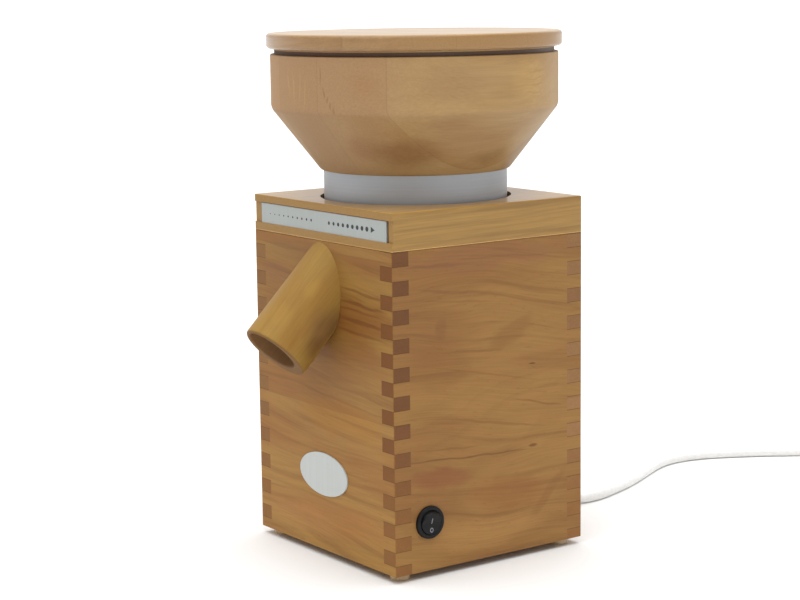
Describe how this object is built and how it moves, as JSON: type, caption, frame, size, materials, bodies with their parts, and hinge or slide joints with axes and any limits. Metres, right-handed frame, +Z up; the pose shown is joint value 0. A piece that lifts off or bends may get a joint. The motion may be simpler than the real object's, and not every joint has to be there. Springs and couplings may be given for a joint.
{
  "type": "electric grain mill",
  "caption": "Kitchen grain mill: a finger-jointed wooden case with a lidded turned hopper on a screw collar, a slanted flour spout, a round rocker switch and a mains lead.",
  "frame": {"origin": "on the surface that the mill stands on, below the centre of the box of the mill without its lead", "axes": "+Z up, -Y the front with the spout, +X the side with the switch"},
  "size_m": [0.2202, 0.6992, 0.379],
  "materials": {
    "case_wood": "oiled cherry, satin",
    "hopper_wood": "turned and oiled cherry, satin",
    "spout_wood": "turned and oiled pale wood, satin",
    "base_board": "birch plywood, sanded",
    "clear_rubber": "clear soft rubber",
    "silvered_plate": "satin silver plate",
    "bare_aluminium": "turned, fine satin",
    "cast_aluminium": "as cast, machined faces",
    "bright_steel": "bright zinc",
    "laminated_steel": "stamped sheet stack",
    "copper_wire": "enamelled wire",
    "millstone": "bonded corundum, coarse",
    "black_plastic": "moulded, satin",
    "black_rubber": "smooth",
    "white_plastic": "moulded, satin",
    "capacitor_can": "moulded, satin",
    "brass": "tinned brass",
    "lead_sheath": "soft sheath, satin",
    "wire_insulation": "smooth"
  },
  "bodies": {
    "housing": {"front_panel": "case_wood", "rear_panel": "case_wood", "left_panel": "case_wood", "right_panel": "case_wood", "top_cover": "case_wood", "base_plate": "base_board", "corner_blocks": "base_board", "base_screws": "bright_steel", "feet": "clear_rubber", "scale_strip": "silvered_plate", "badge": "silvered_plate", "spout": "spout_wood", "grinding_chamber": "cast_aluminium", "chamber_screws": "bright_steel", "shaft_seal": "black_rubber", "tie_bolts": "bright_steel", "hanger_sleeves": "bright_steel", "stator": "laminated_steel", "windings": "copper_wire", "upper_end_shield": "cast_aluminium", "lower_end_shield": "cast_aluminium", "bearings": "bright_steel", "capacitor": "capacitor_can", "capacitor_clip": "bright_steel", "terminal_block": "white_plastic", "wiring": "wire_insulation", "switch_housing": "black_plastic", "switch_terminals": "brass", "cord_gland": "white_plastic", "power_cord": "lead_sheath", "cord_coil": "lead_sheath", "cord_tail": "lead_sheath", "plug": "white_plastic", "lift_springs": "bright_steel"},
    "upper_stone": {"upper_stone": "millstone", "stone_carrier": "cast_aluminium", "guide_keys": "bright_steel"},
    "hopper": {"bowl_block_1": "hopper_wood", "bowl_block_2": "hopper_wood", "bowl_block_3": "hopper_wood", "bowl_block_4": "hopper_wood", "bowl_block_5": "hopper_wood", "collar": "bare_aluminium", "collar_screws": "bright_steel", "setting_mark": "black_plastic", "feed_funnel": "white_plastic"},
    "lid": {"lid": "hopper_wood"},
    "spindle": {"motor_shaft": "bright_steel", "rotor": "laminated_steel", "cooling_fan": "black_plastic", "runner_hub": "bright_steel", "lower_stone": "millstone", "hub_screw": "bright_steel", "flour_sweeper": "bright_steel"},
    "switch_rocker": {"rocker": "black_plastic"}
  },
  "joints": [
    {"name": "gap_slide", "type": "slide", "parent": "housing", "child": "upper_stone", "axis": [0, 0, 1], "range_m": [-0.00038, 0.00263], "deforming": ["lift_springs"]},
    {"name": "hopper_turn", "type": "hinge", "parent": "upper_stone", "child": "hopper", "pos_m": [0, 0.01789, 0.236], "axis": [0, 0, 1], "range_deg": [-45, 315]},
    {"name": "lid_lift", "type": "slide", "parent": "hopper", "child": "lid", "axis": [0, 0, 1], "range_m": [0, 0.1]},
    {"name": "spindle_spin", "type": "hinge", "parent": "housing", "child": "spindle", "pos_m": [0, 0.01789, 0.118], "axis": [0, 0, 1], "continuous": true},
    {"name": "rocker_tilt", "type": "hinge", "parent": "housing", "child": "switch_rocker", "pos_m": [0.088, -0.03761, 0.0405], "axis": [0, -1, 0], "range_deg": [0, 20]}
  ],
  "couplings": [
    {"joint": "gap_slide", "follows": "hopper_turn", "m_per_rad": 0.00047746}
  ]
}
